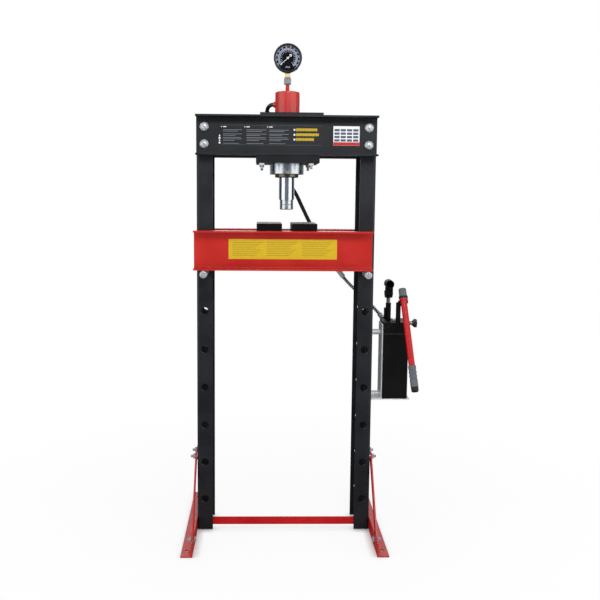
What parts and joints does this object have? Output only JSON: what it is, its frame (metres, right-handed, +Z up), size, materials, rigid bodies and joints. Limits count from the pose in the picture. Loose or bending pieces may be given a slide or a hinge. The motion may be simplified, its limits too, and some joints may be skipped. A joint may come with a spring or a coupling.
{
  "type": "hydraulic workshop press",
  "caption": "Floor-standing H-frame hydraulic shop press with pinned adjustable bed, overhead ram, pressure gauge and side-mounted hand pump joined by a hose.",
  "frame": {"origin": "on the floor, at the middle of the four anchor holes in the feet, midway between the columns", "axes": "+X to the right seen from the front (the pump side), +Y to the back, +Z up"},
  "size_m": [0.829, 0.56, 1.727],
  "materials": {
    "black_coat": "semi-gloss powder coat",
    "red_paint": "gloss powder coat",
    "zinc_plate": "bright zinc plate",
    "bright_chrome": "hard chrome, polished",
    "plain_steel": "machined",
    "gland_bronze": "machined bronze",
    "gauge_brass": "machined brass",
    "seal_rubber": "matt",
    "dial_black": "printed sheet",
    "needle_white": "painted sheet",
    "lens_glass": "clear",
    "grip_grey": "matt moulded",
    "knob_plastic": "moulded"
  },
  "bodies": {
    "frame": {"left_column": "black_coat", "right_column": "black_coat", "front_head_beam": "black_coat", "rear_head_beam": "black_coat", "head_bolts": "zinc_plate", "top_plate": "black_coat", "ram_plate": "black_coat", "ram_plate_bolts": "zinc_plate", "cylinder": "red_paint", "lock_ring": "bright_chrome", "gland": "gland_bronze", "rod_wiper": "seal_rubber", "upper_spring_plug": "plain_steel", "return_spring": "plain_steel", "gauge_pipe": "red_paint", "gauge_coupling": "zinc_plate", "gauge_stem": "gauge_brass", "bourdon_tube": "gauge_brass", "gauge_case": "black_coat", "gauge_bezel": "black_coat", "gauge_dial": "dial_black", "gauge_lens": "lens_glass", "front_bed_beam": "red_paint", "rear_bed_beam": "red_paint", "bed_spacers": "red_paint", "bed_pins": "zinc_plate", "left_press_plate": "black_coat", "right_press_plate": "black_coat", "left_foot": "red_paint", "right_foot": "red_paint", "braces": "red_paint", "cross_bar": "red_paint", "foot_bolts": "zinc_plate", "brace_bolts": "zinc_plate", "pump_bracket": "zinc_plate", "bracket_bolts": "zinc_plate", "reservoir": "black_coat", "pump_head": "black_coat", "filler_plug": "zinc_plate", "pump_barrel": "black_coat", "fulcrum_post": "black_coat", "fulcrum_pin": "zinc_plate", "handle_holder": "black_coat", "handle_tube": "red_paint", "handle_cap": "grip_grey", "handle_grip": "grip_grey", "hose_elbows": "zinc_plate", "hose": "seal_rubber", "hose_fittings": "zinc_plate"},
    "ram_unit": {"ram": "bright_chrome", "ram_nose": "bright_chrome", "piston": "plain_steel", "piston_seal": "seal_rubber", "lower_spring_plug": "plain_steel"},
    "needle": {"gauge_needle": "needle_white"},
    "lever": {"lever_socket": "black_coat"},
    "plunger": {"plunger": "plain_steel", "plunger_pin": "zinc_plate"},
    "valve": {"release_valve": "bright_chrome", "valve_knob": "knob_plastic"}
  },
  "joints": [
    {"name": "ram_slide", "type": "slide", "parent": "frame", "child": "ram_unit", "axis": [0, 0, -1], "range_m": [0, 0.046], "stiffness_N_per_m": 800, "springref_m": -0.12, "deforming": ["return_spring"]},
    {"name": "needle_turn", "type": "hinge", "parent": "frame", "child": "needle", "pos_m": [0.003, -0.014, 1.678], "axis": [0, 1, 0], "range_deg": [0, 270], "stiffness_Nm_per_rad": 0.001, "springref_deg": -28.65},
    {"name": "lever_swing", "type": "hinge", "parent": "frame", "child": "lever", "pos_m": [0.374, 0.045, 0.856], "axis": [-1, 0, 0], "range_deg": [-17, 17]},
    {"name": "plunger_slide", "type": "slide", "parent": "frame", "child": "plunger", "axis": [0, 0, 1], "range_m": [-0.0134, 0.0134]},
    {"name": "valve_turn", "type": "hinge", "parent": "frame", "child": "valve", "pos_m": [0.441, 0.005, 0.748], "axis": [-1, 0, 0], "range_deg": [0, 360]}
  ],
  "couplings": [
    {"joint": "plunger_slide", "follows": "lever_swing", "m_per_rad": 0.045}
  ]
}
